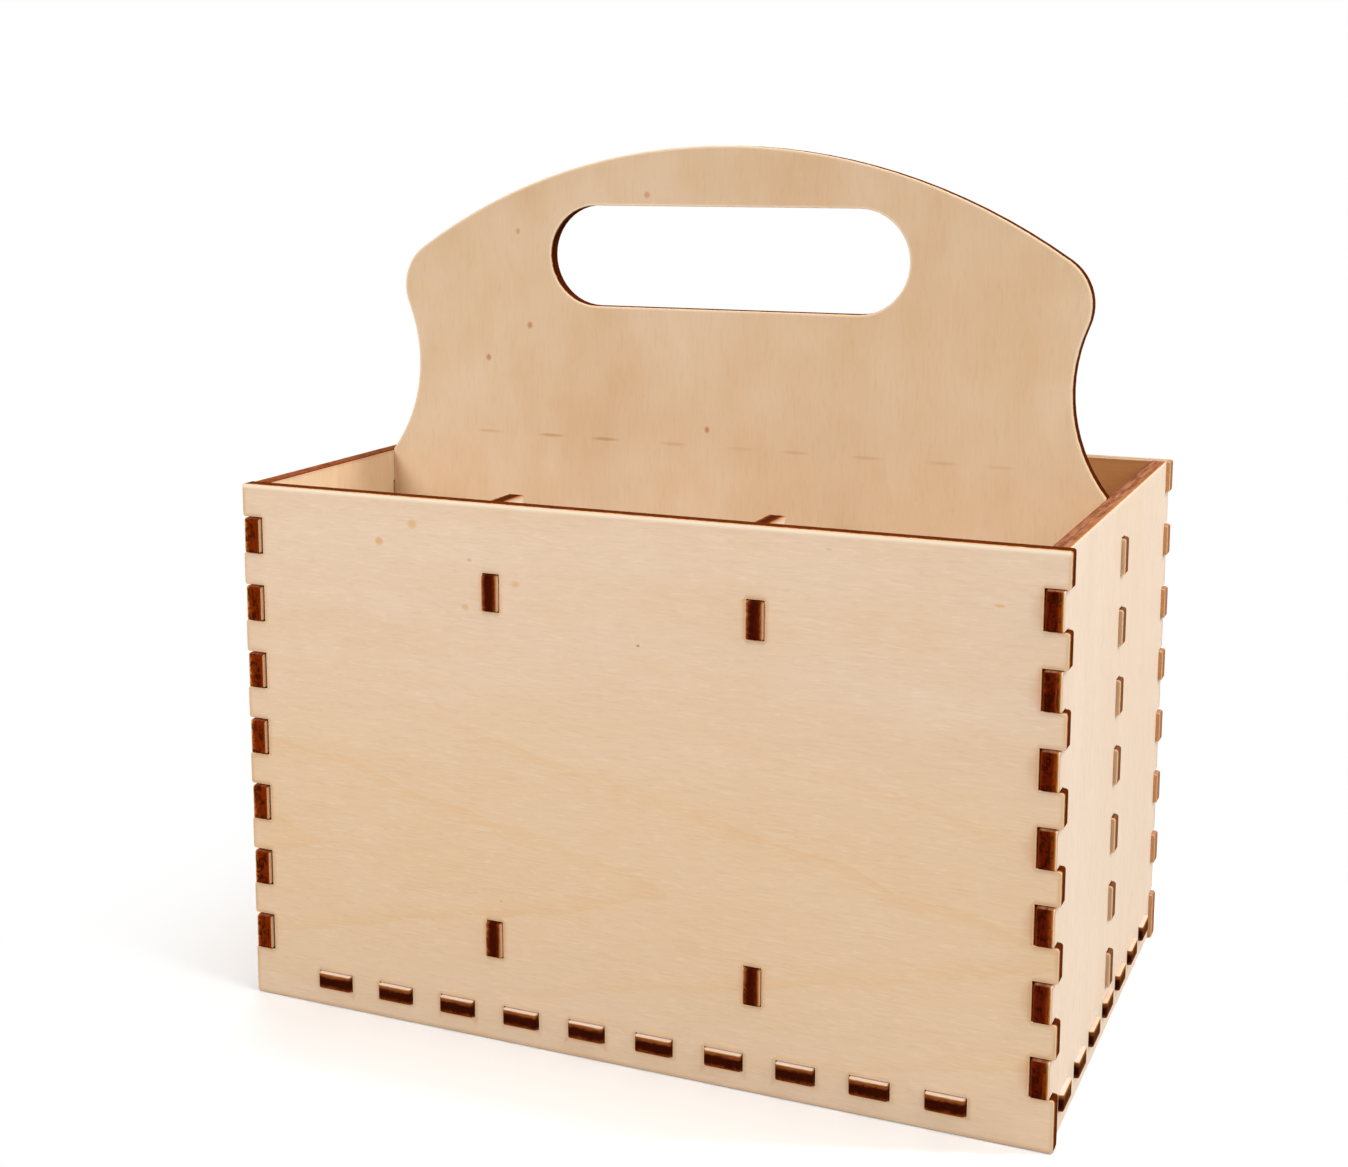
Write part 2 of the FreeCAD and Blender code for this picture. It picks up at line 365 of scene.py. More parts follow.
# Rotary-cut birch veneer, sanded and left bare: pale, close-grained and silky, with pin knots.
# A range is two values of a pattern: nothing shows at the first, the full share at the second
veneerLook = {
    "hairLength": 6 * mm,
    "hairWidth": 0.7 * mm,       # real hairs are finer; this is as fine as the picture shows
    "hairCurl": 1.0,
    "darkHairs": (0.52, 0.8),
    "lightHairs": (0.46, 0.2),
    "cloudSize": 26 * mm,
    "cloudWeight": 0.5,          # of the clouds beside the bands
    "bandRange": (0.55, 0.98),
    "bandRoughness": 0.55,
    "figureWaver": 7 * mm,
    "waverSize": 22 * mm,
    "archTip": 3 * mm,           # rounds the tip of each arch of the figure
    "ringLine": (0.8, 1.0),
    "heartReach": (75 * mm, 15 * mm),
    "spotEdge": (1.15, 0.35),    # in radii of the spot
    "roughness": (0.5, 0.62),
    "roughHairs": (0.3, 0.7),
    "specular": 0.3,
    "bumpDepth": 0.05 * mm,
    "bumpStrength": 0.25,
}


def veneerBands(add, panel, shifted, clouds):
    # long soft bands, broken up by the clouds
    bandLength, bandWidth = panel["bandSize"]
    stretched = add("ShaderNodeVectorMath", {"operation": "MULTIPLY"},
                    {0: shifted, 1: (1 / (bandLength * mm), 1, 1 / (bandWidth * mm))})
    bands = add("ShaderNodeTexNoise", None,
                {"Vector": stretched, "Scale": 1.0, "Detail": 3.0,
                 "Roughness": veneerLook["bandRoughness"]})
    blend = add("ShaderNodeMath", {"operation": "MULTIPLY_ADD"},
                {0: clouds, 1: veneerLook["cloudWeight"], 2: bands})
    none, full = veneerLook["bandRange"]
    share = add("ShaderNodeMapRange", None,
                {"Value": blend, "From Min": none, "From Max": full,
                 "To Min": 0.0, "To Max": panel["bandShare"]})
    return add("ShaderNodeMix", colourMix,
               {"Factor": share, "A": hexColour(panel["pale"]), "B": hexColour(panel["deep"])})


def ringFigure(add, panel, colour, along, over, shifted, clouds):
    # growth rings, nested arches along the grain, over a deeper heart
    tipAlong, tipOver, slope, spacing, ringShare = panel["figure"]
    swing = veneerLook["figureWaver"]
    waver = add("ShaderNodeTexNoise", None,
                {"Vector": shifted, "Scale": 1 / veneerLook["waverSize"], "Detail": 2.0})
    wavered = add("ShaderNodeMath", {"operation": "MULTIPLY_ADD"}, {0: waver, 1: swing, 2: over})
    side = add("ShaderNodeMath", {"operation": "SUBTRACT"}, {0: wavered, 1: tipOver * mm + swing / 2})
    rounded = add("ShaderNodeMath", {"operation": "MULTIPLY_ADD"},
                  {0: side, 1: side, 2: veneerLook["archTip"] ** 2})
    arm = add("ShaderNodeMath", {"operation": "SQRT"}, {0: rounded})
    none, full = veneerLook["heartReach"]
    heart = add("ShaderNodeMapRange", softStep,
                {"Value": arm, "From Min": none, "From Max": full,
                 "To Min": 0.0, "To Max": panel["heartShare"]})
    colour = add("ShaderNodeMix", colourMix,
                 {"Factor": heart, "A": colour, "B": hexColour(panel["heartTone"])})
    ahead = add("ShaderNodeMath", {"operation": "SUBTRACT"}, {0: along, 1: tipAlong * mm})
    rise = add("ShaderNodeMath", {"operation": "MULTIPLY_ADD"}, {0: arm, 1: 1 / slope, 2: ahead})
    turns = add("ShaderNodeMath", {"operation": "DIVIDE"}, {0: rise, 1: spacing * mm})
    saw = add("ShaderNodeMath", {"operation": "FRACT"}, {0: turns})
    none, full = veneerLook["ringLine"]
    line = add("ShaderNodeMapRange", softStep,
               {"Value": saw, "From Min": none, "From Max": full, "To Min": 0.0, "To Max": ringShare})
    faded = add("ShaderNodeMath", {"operation": "MULTIPLY"}, {0: line, 1: clouds})
    faded = add("ShaderNodeMath", {"operation": "MULTIPLY"}, {0: faded, 1: heart})
    return add("ShaderNodeMix", colourMix,
               {"Factor": faded, "A": colour, "B": hexColour(panel["figureTone"])})


def veneerHairs(add, panel, colour, hairs):
    # fine hairs, dark and light
    for hairRange, tone in (("darkHairs", "hairTone"), ("lightHairs", "glintTone")):
        none, full = veneerLook[hairRange]
        share = add("ShaderNodeMapRange", None,
                    {"Value": hairs, "From Min": none, "From Max": full,
                     "To Min": 0.0, "To Max": panel["hairShare"]})
        colour = add("ShaderNodeMix", colourMix,
                     {"Factor": share, "A": colour, "B": hexColour(panel[tone])})
    return colour


def veneerTints(add, panel, colour, along):
    # painted light and shade: the sheet's two faces can be tinted apart, and a panel can darken along the
    # grain
    if "faceLightAndShade" in panel:
        nearTint, farTint = (hexColour(code) for code in panel["faceLightAndShade"])
        depth = add("ShaderNodeAttribute", {"attribute_name": "plyDepth"}).outputs["Fac"]
        tint = add("ShaderNodeMix", colourMix, {"Factor": depth, "A": nearTint, "B": farTint})
        colour = add("ShaderNodeMix", tintMix, {"Factor": 1.0, "A": colour, "B": tint})
    if "paintedShadeAlong" in panel:
        lowest, highest, lowTint, highTint = panel["paintedShadeAlong"]
        climb = add("ShaderNodeMapRange", None,
                    {"Value": along, "From Min": lowest * mm, "From Max": highest * mm})
        tint = add("ShaderNodeMix", colourMix,
                   {"Factor": climb, "A": hexColour(lowTint), "B": hexColour(highTint)})
        colour = add("ShaderNodeMix", tintMix, {"Factor": 1.0, "A": colour, "B": tint})
    return colour


def cutTint(add, panel, colour, clouds):
    # a brown heat tint, or a pale rim that is a painted highlight, beside every laser cut
    distance = add("ShaderNodeAttribute", {"attribute_name": "edgeDistance"}).outputs["Fac"]
    tint = add("ShaderNodeMapRange", softStep,
               {"Value": distance, "From Min": panel["haloReach"] * mm, "From Max": 0.0,
                "To Min": 0.0, "To Max": panel["heatTintAndHighlightShare"]})
    uneven = add("ShaderNodeMath", {"operation": "MULTIPLY"}, {0: tint, 1: clouds})
    return add("ShaderNodeMix", colourMix,
               {"Factor": uneven, "A": colour, "B": hexColour(panel["heatTintAndHighlightTone"])})


def veneerSpots(add, panel, colour, place):
    # pin knots; marks, some of them painted shade and painted light; painted highlights along arrises;
    # each a soft oval spot
    none, full = veneerLook["spotEdge"]
    for tone, kind in (("knotTone", "knots"), ("markTone", "marks"), ("arrisHighlightTone", "arrisHighlights")):
        cover = None
        for spotAlong, spotOver, alongRadius, overRadius, strength in panel.get(kind, ()):
            offset = add("ShaderNodeVectorMath", {"operation": "SUBTRACT"},
                         {0: place, 1: (spotAlong * mm, 0, spotOver * mm)})
            scaled = add("ShaderNodeVectorMath", {"operation": "MULTIPLY"},
                         {0: offset, 1: (1 / (alongRadius * mm), 1, 1 / (overRadius * mm))})
            reach = add("ShaderNodeVectorMath", {"operation": "LENGTH"}, {0: scaled}).outputs["Value"]
            soft = add("ShaderNodeMapRange", softStep,
                       {"Value": reach, "From Min": none, "From Max": full,
                        "To Min": 0.0, "To Max": strength})
            if cover is None:
                cover = soft
            else:
                cover = add("ShaderNodeMath", {"operation": "MAXIMUM"}, {0: cover, 1: soft})
        if cover is not None:
            colour = add("ShaderNodeMix", colourMix,
                         {"Factor": cover, "A": colour, "B": hexColour(panel[tone])})
    return colour


def birchVeneer(name, panel):
    look = veneerLook
    material, add = newMaterial(name)
    here = add("ShaderNodeTexCoord").outputs["Object"]
    axes = add("ShaderNodeSeparateXYZ", None, {0: here}).outputs
    along, over = axes[panel["grain"]], axes[panel["cross"]]
    place = add("ShaderNodeCombineXYZ", None, {"X": along, "Z": over})
    shifted = add("ShaderNodeVectorMath", {"operation": "ADD"}, {0: place, 1: panel["shift"]})
    clouds = add("ShaderNodeTexNoise", None,
                 {"Vector": shifted, "Scale": 1 / look["cloudSize"], "Detail": 2.0})
    finer = add("ShaderNodeVectorMath", {"operation": "MULTIPLY"},
                {0: shifted, 1: (1 / look["hairLength"], 1, 1 / look["hairWidth"])})
    hairs = add("ShaderNodeTexNoise", None,
                {"Vector": finer, "Scale": 1.0, "Detail": 2.0, "Distortion": look["hairCurl"]})
    colour = veneerBands(add, panel, shifted, clouds)
    colour = ringFigure(add, panel, colour, along, over, shifted, clouds)
    colour = veneerHairs(add, panel, colour, hairs)
    colour = veneerTints(add, panel, colour, along)
    colour = cutTint(add, panel, colour, clouds)
    colour = veneerSpots(add, panel, colour, place)
    smooth, rough = look["roughness"]
    lowest, highest = look["roughHairs"]
    roughness = add("ShaderNodeMapRange", None,
                    {"Value": hairs, "From Min": lowest, "From Max": highest,
                     "To Min": smooth, "To Max": rough})
    bump = add("ShaderNodeBump", None,
               {"Height": hairs, "Strength": look["bumpStrength"], "Distance": look["bumpDepth"]})
    wood = add("ShaderNodeBsdfPrincipled", None,
               {"Base Color": colour, "Roughness": roughness, "Specular IOR Level": look["specular"],
                "Normal": bump})
    add("ShaderNodeOutputMaterial", None, {"Surface": wood})
    return material


# Plywood cut by laser: matt soot on the core, amber face plies that fade into it, pale arrises.
# Plies run through the sheet from its near (0) to its far (1) face, and ranges are as for the veneer
charLook = {
    "stripeWidth": 0.7 * mm,
    "streakLength": 5 * mm,
    "streakWidth": 0.4 * mm,
    "streakCurl": 0.6,
    "swirlSize": 2.6 * mm,
    "swirlCurl": 1.4,
    "swirlTurn": (0.7, 0.5, 0.3),    # askew, so that the noise's own grid doesn't show on the edges
    "plyWander": 0.34,
    "arrisFade": (0.98, 0.7),    # from the sheet's middle (0) to a face (1)
    "soot": "#1E0500",
    "sootShare": 0.6,
    "sootRange": (0.68, 0.95),
    "sootSwirl": 0.5,            # weight of the swirls beside the streaks
    "topHighlightTone": "#A66F50",        # painted highlight: edges that face up are paler, as light from above catches them
    "topHighlightShare": 0.0,
    "topHighlightFacing": (0.6, 0.9),
    "topHighlightSootCut": 0.9,             # share of the soot that the painted highlight takes off
    "patchLeast": 0.5,           # the painted highlight is uneven, down to this share of it
    "patchRange": (0.4, 0.6),
    "patchScale": 0.3,           # of the streaks
    "endHighlightTone": "#B8805C",        # painted highlight: tab ends that stand proud are paler, as grazing light catches them
    "endHighlightShare": 0.0,
    "endHighlightReach": (126.4 * mm, 127.4 * mm),
    "roughness": 0.6,
    "specular": 0.0,
    "sheen": 0.1,
    "sheenRoughness": 0.45,
    "sheenTone": "#E8A060",
    "bumpDepth": 0.06 * mm,
    "bumpStrength": 0.3,
}
amberPlies = (
    (0.00, "#F2DFC4"), (0.05, "#DBA76E"), (0.09, "#B8702E"), (0.17, "#8E4012"), (0.29, "#7C300B"))
leftPlies = amberPlies + ((0.38, "#752606"), (0.85, "#752606"), (0.94, "#7A2C0A"), (1.00, "#7A3210"))
rightPlies = amberPlies + (
    (0.38, "#621B05"), (0.50, "#581604"), (0.85, "#5A1705"), (0.94, "#6C2307"), (1.00, "#7A3210"))
wallPlies = (
    (0.00, "#EACDA8"), (0.06, "#C07C44"), (0.14, "#96501E"), (0.22, "#5E270B"), (0.70, "#5C250A"),
    (0.85, "#663010"), (0.94, "#8A4A20"), (1.00, "#DDB88C"))
floorPlies = (
    (0.00, "#8C5024"), (0.05, "#7E3E16"), (0.08, "#763610"), (0.18, "#561E08"), (0.28, "#380C03"),
    (0.62, "#380C03"), (0.70, "#4A1808"), (0.80, "#884720"), (0.92, "#9D5A2F"), (0.97, "#D0A06C"),
    (1.00, "#EED8B8"))
dividerPlies = (
    (0.00, "#E2BC90"), (0.08, "#985730"), (0.18, "#702E0F"), (0.30, "#420F03"), (0.62, "#420F03"),
    (0.70, "#4C1506"), (0.82, "#5C1E06"), (0.92, "#843E16"), (1.00, "#C08A58"))
handlePlies = (
    (0.00, "#F2DCBC"), (0.05, "#DA9E5C"), (0.12, "#8C4616"), (0.22, "#4C1806"), (0.45, "#3A0D03"),
    (0.55, "#5C240A"), (0.62, "#3A0D03"), (0.85, "#541A0A"), (0.95, "#8C4C22"), (1.00, "#DAB484"))
endChar = dict(charLook, sootRange=(1.1, 1.5), sootSwirl=1.5)
chars = {
    # the end panels' up-facing edges get a painted highlight, strongest on the right
    "leftEndChar": dict(endChar, topHighlightShare=0.45, sootShare=0.8, plies=leftPlies),
    "rightEndChar": dict(endChar, topHighlightShare=1.0, sootShare=0.75,
                         plies=[(1 - share, code) for share, code in reversed(rightPlies)]),
    "floorChar": dict(charLook, sheen=0.2, plies=floorPlies),
    "dividerChar": dict(charLook, plies=dividerPlies),
    "frontChar": dict(charLook, sheen=0.04, plies=wallPlies),
    # the back's top edge gets a pale painted highlight, and its finger ends a painted highlight too
    "backChar": dict(charLook, sheen=0.04, topHighlightTone="#DCBC9C", topHighlightShare=0.9, endHighlightShare=0.75,
                     plies=wallPlies),
    # the handle's proud tab ends get a painted highlight
    "handleChar": dict(charLook, endHighlightShare=0.3, plies=handlePlies),
}


def plyColours(add, look, depth, swirl, inside):
    # the boundary between two plies wanders, but not at the arrises
    wander = add("ShaderNodeMath", {"operation": "MULTIPLY_ADD"},
                 {0: swirl, 1: look["plyWander"], 2: -look["plyWander"] / 2})
    held = add("ShaderNodeMath", {"operation": "MULTIPLY"}, {0: wander, 1: inside})
    ply = add("ShaderNodeMath", {"operation": "ADD"}, {0: depth, 1: held})
    ramp = add("ShaderNodeValToRGB", None, {"Fac": ply})
    stops = ramp.color_ramp.elements
    while len(stops) < len(look["plies"]):
        stops.new(1.0)
    for stop, (position, code) in zip(stops, look["plies"]):
        stop.position = position
        stop.color = hexColour(code)
    return ramp


def paintedTopHighlight(add, look, normal, drawn, inside):
    # patchy painted highlight on the edges that face up
    up = add("ShaderNodeSeparateXYZ", None, {0: normal}).outputs["Z"]
    none, full = look["topHighlightFacing"]
    upper = add("ShaderNodeMapRange", None,
                {"Value": up, "From Min": none, "From Max": full,
                 "To Min": 0.0, "To Max": look["topHighlightShare"]})
    topHighlight = add("ShaderNodeMath", {"operation": "MULTIPLY"}, {0: upper, 1: inside})
    highlightPatchNoise = add("ShaderNodeTexNoise", None, {"Vector": drawn, "Scale": look["patchScale"], "Detail": 2.0})
    least, most = look["patchRange"]
    patches = add("ShaderNodeMapRange", None,
                  {"Value": highlightPatchNoise, "From Min": least, "From Max": most,
                   "To Min": look["patchLeast"], "To Max": 1.0})
    return add("ShaderNodeMath", {"operation": "MULTIPLY"}, {0: topHighlight, 1: patches})


def sootyShare(add, look, swirl, drawn, topHighlight, inside):
    # soot in swirls and in streaks along the plies, thinner under the painted highlight
    streaks = add("ShaderNodeTexNoise", None,
                  {"Vector": drawn, "Scale": 1.0, "Detail": 3.0, "Distortion": look["streakCurl"]})
    mixed = add("ShaderNodeMath", {"operation": "MULTIPLY_ADD"},
                {0: swirl, 1: look["sootSwirl"], 2: streaks})
    none, full = look["sootRange"]
    sooty = add("ShaderNodeMapRange", softStep,
                {"Value": mixed, "From Min": none, "From Max": full,
                 "To Min": 0.0, "To Max": look["sootShare"]})
    left = add("ShaderNodeMath", {"operation": "MULTIPLY_ADD"}, {0: topHighlight, 1: -look["topHighlightSootCut"], 2: inside})
    return add("ShaderNodeMath", {"operation": "MULTIPLY"}, {0: sooty, 1: left})


def paintedEndHighlight(add, look, colour, here, inside):
    # painted highlight on the proud tab ends, out past the end panels
    sideways = add("ShaderNodeSeparateXYZ", None, {0: here}).outputs["X"]
    outwards = add("ShaderNodeMath", {"operation": "ABSOLUTE"}, {0: sideways})
    none, full = look["endHighlightReach"]
    atEnd = add("ShaderNodeMapRange", None,
                {"Value": outwards, "From Min": none, "From Max": full,
                 "To Min": 0.0, "To Max": look["endHighlightShare"]})
    atEnd = add("ShaderNodeMath", {"operation": "MULTIPLY"}, {0: atEnd, 1: inside})
    return add("ShaderNodeMix", colourMix,
               {"Factor": atEnd, "A": colour, "B": hexColour(look["endHighlightTone"])})


def charredEdge(name, look):
    material, add = newMaterial(name)
    depth = add("ShaderNodeAttribute", {"attribute_name": "plyDepth"}).outputs["Fac"]
    cut = add("ShaderNodeAttribute", {"attribute_name": "cutPlace"}).outputs["Vector"]
    here = add("ShaderNodeTexCoord").outputs
    askew = add("ShaderNodeVectorRotate", {"rotation_type": "EULER_XYZ"},
                {"Vector": here["Object"], "Rotation": look["swirlTurn"]})
    swirl = add("ShaderNodeTexNoise", None,
                {"Vector": askew, "Scale": 1 / look["swirlSize"], "Detail": 3.0,
                 "Distortion": look["swirlCurl"]})

    # one inside the sheet, nothing at the arrises
    centred = add("ShaderNodeMath", {"operation": "MULTIPLY_ADD"}, {0: depth, 1: 2.0, 2: -1.0})
    fromMiddle = add("ShaderNodeMath", {"operation": "ABSOLUTE"}, {0: centred})
    none, full = look["arrisFade"]
    inside = add("ShaderNodeMapRange", None,
                 {"Value": fromMiddle, "From Min": full, "From Max": none, "To Min": 1.0, "To Max": 0.0})

    # the place, drawn out along the plies
    layer = add("ShaderNodeVectorMath", {"operation": "SUBTRACT"}, {0: here["Object"], 1: cut})
    layer = add("ShaderNodeVectorMath", {"operation": "SCALE"},
                {0: layer, "Scale": 1 / look["streakWidth"]})
    drawn = add("ShaderNodeVectorMath", {"operation": "SCALE"},
                {0: cut, "Scale": 1 / look["streakLength"]})
    drawn = add("ShaderNodeVectorMath", {"operation": "ADD"}, {0: layer, 1: drawn})

    colour = plyColours(add, look, depth, swirl, inside)
    # painted highlight: up-facing edges paler, as light from above catches them
    topHighlight = paintedTopHighlight(add, look, here["Normal"], drawn, inside)
    colour = add("ShaderNodeMix", colourMix,
                 {"Factor": topHighlight, "A": colour, "B": hexColour(look["topHighlightTone"])})
    soot = sootyShare(add, look, swirl, drawn, topHighlight, inside)
    colour = add("ShaderNodeMix", colourMix,
                 {"Factor": soot, "A": colour, "B": hexColour(look["soot"])})
    # painted highlight on the proud tab ends
    if look["endHighlightShare"]:
        colour = paintedEndHighlight(add, look, colour, here["Object"], inside)
    stripes = add("ShaderNodeTexNoise", None,
                  {"Vector": cut, "Scale": 1 / look["stripeWidth"], "Detail": 2.0})
    bump = add("ShaderNodeBump", None,
               {"Height": stripes, "Strength": look["bumpStrength"], "Distance": look["bumpDepth"]})
    wood = add("ShaderNodeBsdfPrincipled", None,
               {"Base Color": colour, "Roughness": look["roughness"],
                "Specular IOR Level": look["specular"],
                "Sheen Weight": look["sheen"], "Sheen Roughness": look["sheenRoughness"],
                "Sheen Tint": hexColour(look["sheenTone"]), "Normal": bump})
    add("ShaderNodeOutputMaterial", None, {"Surface": wood})
    return material


# Veneers, with their sizes in mm: bandSize is along and over the grain, haloReach goes in from a cut
paleBirch = {
    "pale": "#E3C7AB", "deep": "#DFBF9D", "bandShare": 0.8, "bandSize": (150, 14),
    "heartTone": "#E0BE95", "heartShare": 0.6, "figureTone": "#DDB07A",
    "hairTone": "#C8A27C", "glintTone": "#F4E4D2", "hairShare": 0.26,
    "heatTintAndHighlightTone": "#C08846", "heatTintAndHighlightShare": 0.75, "haloReach": 1.8,
    "knotTone": "#D9AA72", "markTone": "#BC7A42", "arrisHighlightTone": "#FBEDD4",
}
tanBirch = dict(
    paleBirch, pale="#E6CAA9", deep="#DBB68B", bandSize=(38, 20), heartTone="#DDB88D", heartShare=0.3,
    figureTone="#CDA06A", hairTone="#C09666", glintTone="#EBD0AE", hairShare=0.16,
    # here the tint beside the cuts is a pale rim: painted highlight
    heatTintAndHighlightTone="#FFEED2", heatTintAndHighlightShare=0.8, haloReach=1.1, knotTone="#B8783E", markTone="#C0884F")
roseBirch = dict(
    paleBirch, pale="#EED7BF", deep="#EAD0B5", heartTone="#E8CDAE", heartShare=0.3,
    # here the tint beside the cuts is a pale rim: painted highlight
    heatTintAndHighlightTone="#FFF6EA", heatTintAndHighlightShare=0.5)
# paler veneer for the dividers: painted light standing in for the lamp's light on their faces; its light
# amber markTone paints light on the tab sides
paintedLitBirch = dict(
    paleBirch, pale="#F6E6D2", deep="#F2DEC6", heartTone="#F0DCC0", heartShare=0.3, markTone="#E4AA70")

# Marks that follow the joinery, in mm. Like every knot and mark, each ends up as its place along and over
# the grain, its radii along and over the grain, and its strength
tabRow = {"middle": 80, "reach": 120}       # up a wall
handleTabs = {"place": 127.8, "depth": 1.2, "strength": 0.55}
wallTabs = {"place": 83.0, "depth": 1.4, "strength": 0.75}
tabShadeDrift = {
    "place": 121.8, "top": 150, "pitch": 21.5, "count": 7,       # painted shade, left of the front's right tabs
    "radii": (4.2, 6.5), "strength": 0.22,
}
scorchRow = {
    "height": 174.0,
    "fall": 0.007,               # to the right
    "radii": (0.7, 5.5),
    "spots": ((-84, 0.3), (-61, 0.55), (-41.5, 0.6), (-17, 0.3), (6, 0.2), (24.5, 0.3), (48, 0.32),
              (72, 0.28), (90, 0.22)),
}


def tabMarks(tabs):
    # both rows of tabs, left and right or front and back
    middle, reach = tabRow["middle"], tabRow["reach"]
    return [(middle, side * tabs["place"], reach, tabs["depth"], tabs["strength"]) for side in (-1, 1)]


smokedTabs = tabMarks(handleTabs)
# amber tab sides: a heat tint, and where the markTone is light, painted light on the unlit tab sides
heatTintAndLitTabs = tabMarks(wallTabs)
# painted shade: soft dark spots left of the front's right tabs, where the proud tabs shade the face
paintedTabShade = [
    (tabShadeDrift["place"], tabShadeDrift["top"] - tabShadeDrift["pitch"] * k,
     *tabShadeDrift["radii"], tabShadeDrift["strength"])
    for k in range(tabShadeDrift["count"])]
scorchMarks = [
    (scorchRow["height"] - scorchRow["fall"] * over, over, *scorchRow["radii"], strength)
    for over, strength in scorchRow["spots"]]

# Panels: grain and cross name the axes of the veneer, and shift gives each its own stretch of the
# pattern. figure is the arch tip along and over the grain (mm), the arch's slope, the ring spacing (mm)
# and the rings' strength
panels = {
    "frontPanel": dict(
        paleBirch, node="front_panel", char="frontChar", grain="X", cross="Z",
        shift=(0.13, 0.41, 0.07), figure=(28.6, 54.5, 0.22, 118, 1.0),
        knots=[(-67.7, 157.9, 1.9, 1.7, 0.75), (-79.3, 151.8, 1.7, 1.5, 0.95),
               (-48.5, 148.6, 1.0, 0.7, 0.8), (-33.3, 142.7, 1.5, 1.3, 0.7),
               (-50.1, 134.2, 1.5, 1.2, 0.7), (-39.2, 44.6, 0.8, 0.6, 0.6),
               (62.6, 161.1, 1.1, 0.5, 0.6), (109.8, 149.9, 1.8, 0.5, 0.9)],
        marks=[(6.0, 128.3, 0.6, 0.5, 0.9)] + paintedTabShade,
        # painted highlight along the front's top arris
        arrisHighlights=[(0, 166.2, 1000, 1.8, 0.85)]),
    "backPanel": dict(
        paleBirch, node="back_panel", char="backChar", grain="X", cross="Z",
        # its inner face is tinted warm and darker: painted shade
        shift=(0.52, 0.11, 0.33), figure=(-40, 92, 0.2, 96, 0.8), faceLightAndShade=("#F4CEA4", "#FFFFFF"),
        knots=[(62, 118, 1.6, 1.3, 0.7), (-88, 71, 1.2, 1.0, 0.7), (15, 40, 1.0, 0.8, 0.6)]),
    "leftEndPanel": dict(
        paleBirch, node="left_end_panel", char="leftEndChar", grain="Z", cross="Y",
        # a paler veneer with the outer face toned down, so the inner face is lighter: painted light
        shift=(0.31, 0.72, 0.58), figure=(120, -22, 0.24, 110, 0.6), faceLightAndShade=("#EEE9E4", "#FFFFFF"),
        # the light amber markTone paints light on the tab sides
        pale="#F4DCC0", deep="#F0D4B2", heartTone="#F0D2A8", markTone="#F0B070",
        knots=[(66, 34, 1.3, 1.1, 0.7), (131, -50, 1.0, 0.8, 0.6)],
        marks=heatTintAndLitTabs),
    "rightEndPanel": dict(
        roseBirch, node="right_end_panel", char="rightEndChar", grain="Z", cross="Y",
        shift=(0.77, 0.24, 0.91), figure=(60, 30, 0.24, 120, 0.4),
        marks=heatTintAndLitTabs),
    "bottomPanel": dict(
        paleBirch, node="bottom_panel", char="floorChar", grain="X", cross="Y",
        shift=(0.18, 0.93, 0.44), figure=(-10, 12, 0.2, 104, 0.7),
        pale="#EEE0D6", deep="#EAD8CA", heatTintAndHighlightShare=0.15,
        knots=[(-95, 40, 1.5, 1.2, 0.7), (70, -52, 1.2, 1.0, 0.6)]),
    "handlePanel": dict(
        tanBirch, node="handle_panel", char="handleChar", grain="Z", cross="X",
        shift=(0.64, 0.36, 0.15), figure=(60, 45, 0.2, 160, 0.35),
        # painted shade: the handle darkens towards its top
        paintedShadeAlong=(165, 262, "#FFFFFF", "#EFEBE8"),
        knots=[(241.7, -72.8, 1.2, 0.9, 0.6), (253.9, -26.3, 1.3, 1.3, 0.6),
               (210.8, -68.7, 1.4, 1.2, 0.75), (199.5, -84.3, 1.3, 1.1, 0.8),
               (179.4, -5.3, 1.3, 1.0, 0.8)],
        marks=scorchMarks + smokedTabs),
    "leftDivider": dict(
        paintedLitBirch, node="left_divider", char="dividerChar", grain="Z", cross="Y",
        shift=(0.42, 0.55, 0.82), figure=(90, 25, 0.22, 100, 0.6),
        marks=heatTintAndLitTabs),
    "rightDivider": dict(
        paintedLitBirch, node="right_divider", char="dividerChar", grain="Z", cross="Y",
        shift=(0.95, 0.07, 0.29), figure=(70, -30, 0.22, 100, 0.6),
        marks=heatTintAndLitTabs),
}

plywood = sheetTree()
cutEdges = {name: charredEdge(name + "LaserCutPlywood", look) for name, look in chars.items()}
print("cut edges charred:", len(cutEdges))
for pieceName, panel in panels.items():
    veneer = birchVeneer(pieceName + "SandedBirchVeneer", panel)
    makePanel(pieceName, panel["node"], plywood, veneer, cutEdges[panel["char"]])


# White studio floor of matt paper, with no gloss to show. Soft light: a lamp from the right and a little
# behind, and fill all round
studio = {
    "floorTone": "#FFFFFF",       # as the camera sees it
    "bounceTone": "#B0B0B0",      # as it lights the panels
    "floorReach": 4.0,
    "floorDrop": 0.2 * mm,
    "footprint": (0.128, 0.083, 0),
    "clearWidth": 0.015,          # round the footprint the floor is shaded, then fades to white
    "fadeWidth": 0.09,
    "skyStrength": 0.33,
    "lampAim": (0, 0, 0.12),
    "lamps": {
        "keyLamp": {"place": (1.08, 0.33, 1.6), "size": 0.22, "watts": 20.5},
        "sideFill": {"place": (1.2, -0.3, 0.9), "size": 0.4, "watts": 5.0},
        "frontFill": {"place": (-0.45, -1.5, 0.75), "size": 0.5, "watts": 14.4},
        "backFill": {"place": (-0.9, 1.4, 0.9), "size": 1.2, "watts": 11.0},
        "topFill": {"place": (0.0, -0.1, 1.7), "size": 1.2, "watts": 8.5},
    },
}


def seenRays(add):
    # one for rays that show the studio itself, nothing for rays that light the panels
    ray = add("ShaderNodeLightPath").outputs
    seen = add("ShaderNodeMath", {"operation": "MAXIMUM"},
               {0: ray["Is Camera Ray"], 1: ray["Is Glossy Ray"]})
    return add("ShaderNodeMath", {"operation": "MAXIMUM"}, {0: seen, 1: ray["Is Transmission Ray"]})


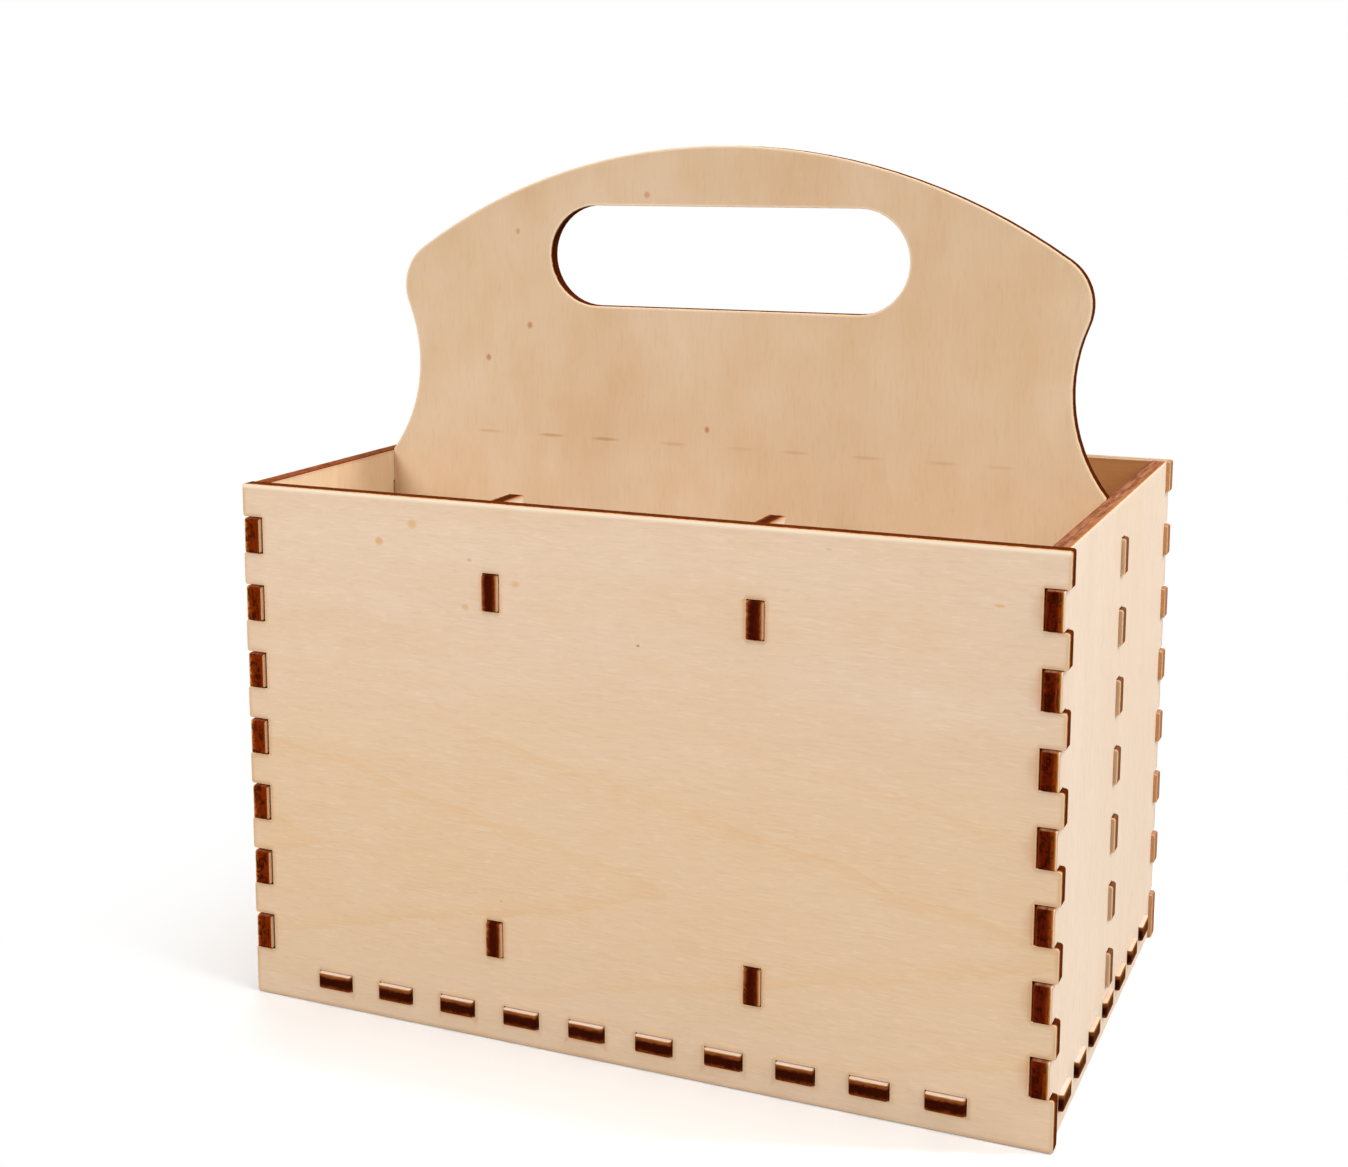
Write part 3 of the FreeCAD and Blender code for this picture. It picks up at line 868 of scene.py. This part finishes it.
def mattWhitePaper(look):
    paper, add = newMaterial("mattWhitePaper")
    place = add("ShaderNodeTexCoord").outputs["Object"]
    folded = add("ShaderNodeVectorMath", {"operation": "ABSOLUTE"}, {0: place})
    beyond = add("ShaderNodeVectorMath", {"operation": "SUBTRACT"}, {0: folded, 1: look["footprint"]})
    outside = add("ShaderNodeVectorMath", {"operation": "MAXIMUM"}, {0: beyond, 1: (0, 0, 0)})
    away = add("ShaderNodeVectorMath", {"operation": "LENGTH"}, {0: outside}).outputs["Value"]
    clear = look["clearWidth"]
    fade = add("ShaderNodeMapRange", softStep,
               {"Value": away, "From Min": clear, "From Max": clear + look["fadeWidth"],
                "To Min": 0.0, "To Max": 1.0})
    seen = seenRays(add)
    share = add("ShaderNodeMath", {"operation": "MULTIPLY"}, {0: fade, 1: seen})
    tone = add("ShaderNodeMix", colourMix,
               {"Factor": seen, "A": hexColour(look["bounceTone"]), "B": hexColour(look["floorTone"])})
    matt = add("ShaderNodeBsdfDiffuse", None, {"Color": tone})
    white = add("ShaderNodeEmission", None, {"Color": (1, 1, 1, 1), "Strength": 1.0})
    both = add("ShaderNodeMixShader", None, {0: share, 1: matt, 2: white})
    add("ShaderNodeOutputMaterial", None, {"Surface": both})
    return paper


def makeFloor(look):
    reach, level = look["floorReach"], -look["floorDrop"]
    corners = [(x * reach, y * reach, level) for x, y in ((-1, -1), (1, -1), (1, 1), (-1, 1))]
    floorMesh = bpy.data.meshes.new("studioFloor")
    floorMesh.from_pydata(corners, [], [(0, 1, 2, 3)])
    floorMesh.materials.append(mattWhitePaper(look))
    floor = bpy.data.objects.new("studioFloor", floorMesh)
    scene.collection.objects.link(floor)


def makeSky(look):
    world = bpy.data.worlds.new("studioSky")
    world.use_nodes = True
    world.node_tree.nodes.clear()
    add = partial(addNode, world.node_tree)
    strength = add("ShaderNodeMapRange", None,
                   {"Value": seenRays(add), "To Min": look["skyStrength"], "To Max": 1.0})
    sky = add("ShaderNodeBackground", None, {"Color": (1, 1, 1, 1), "Strength": strength})
    add("ShaderNodeOutputWorld", None, {"Surface": sky})
    scene.world = world


def makeLamps(look):
    for name, lamp in look["lamps"].items():
        light = bpy.data.lights.new(name, "AREA")
        light.size = lamp["size"]
        light.energy = lamp["watts"]
        holder = bpy.data.objects.new(name, light)
        holder.location = lamp["place"]
        holder.rotation_mode = "QUATERNION"
        ray = Vector(look["lampAim"]) - Vector(lamp["place"])
        holder.rotation_quaternion = ray.to_track_quat("-Z", "Y")
        scene.collection.objects.link(holder)


makeFloor(studio)
makeSky(studio)
makeLamps(studio)
scene.view_settings.view_transform = "Standard"
print("studio lit")
